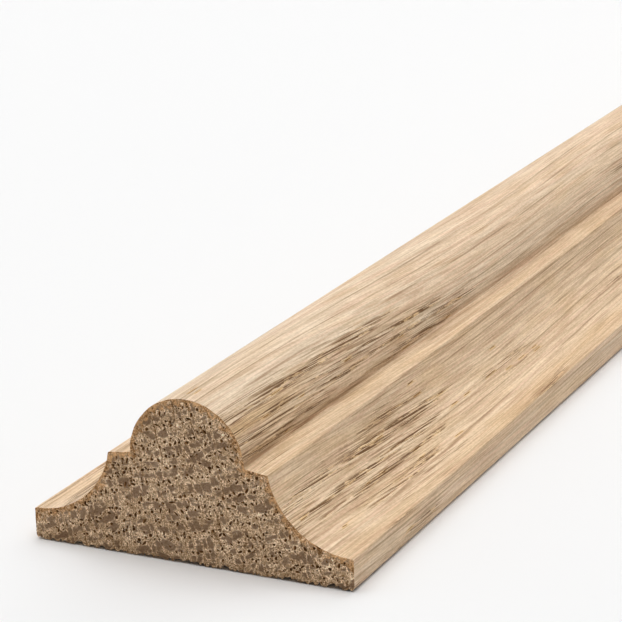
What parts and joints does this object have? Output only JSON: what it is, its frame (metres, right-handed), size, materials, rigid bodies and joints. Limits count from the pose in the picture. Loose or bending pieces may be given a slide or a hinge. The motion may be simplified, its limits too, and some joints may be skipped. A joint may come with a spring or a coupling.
{
  "type": "bead moulding",
  "caption": "Straight hardwood bead moulding: a half-round bead between two quirks and two hollow coves on a flat back.",
  "frame": {"origin": "middle of the flat back, halfway along the length", "axes": "+Y along the grain and the length, +X across the width, +Z out of the back towards the bead"},
  "size_m": [0.031, 0.9, 0.015],
  "materials": {
    "oak": "planed and sanded, unfinished"
  },
  "bodies": {
    "root": {"bead_moulding": "oak"}
  },
  "joints": []
}
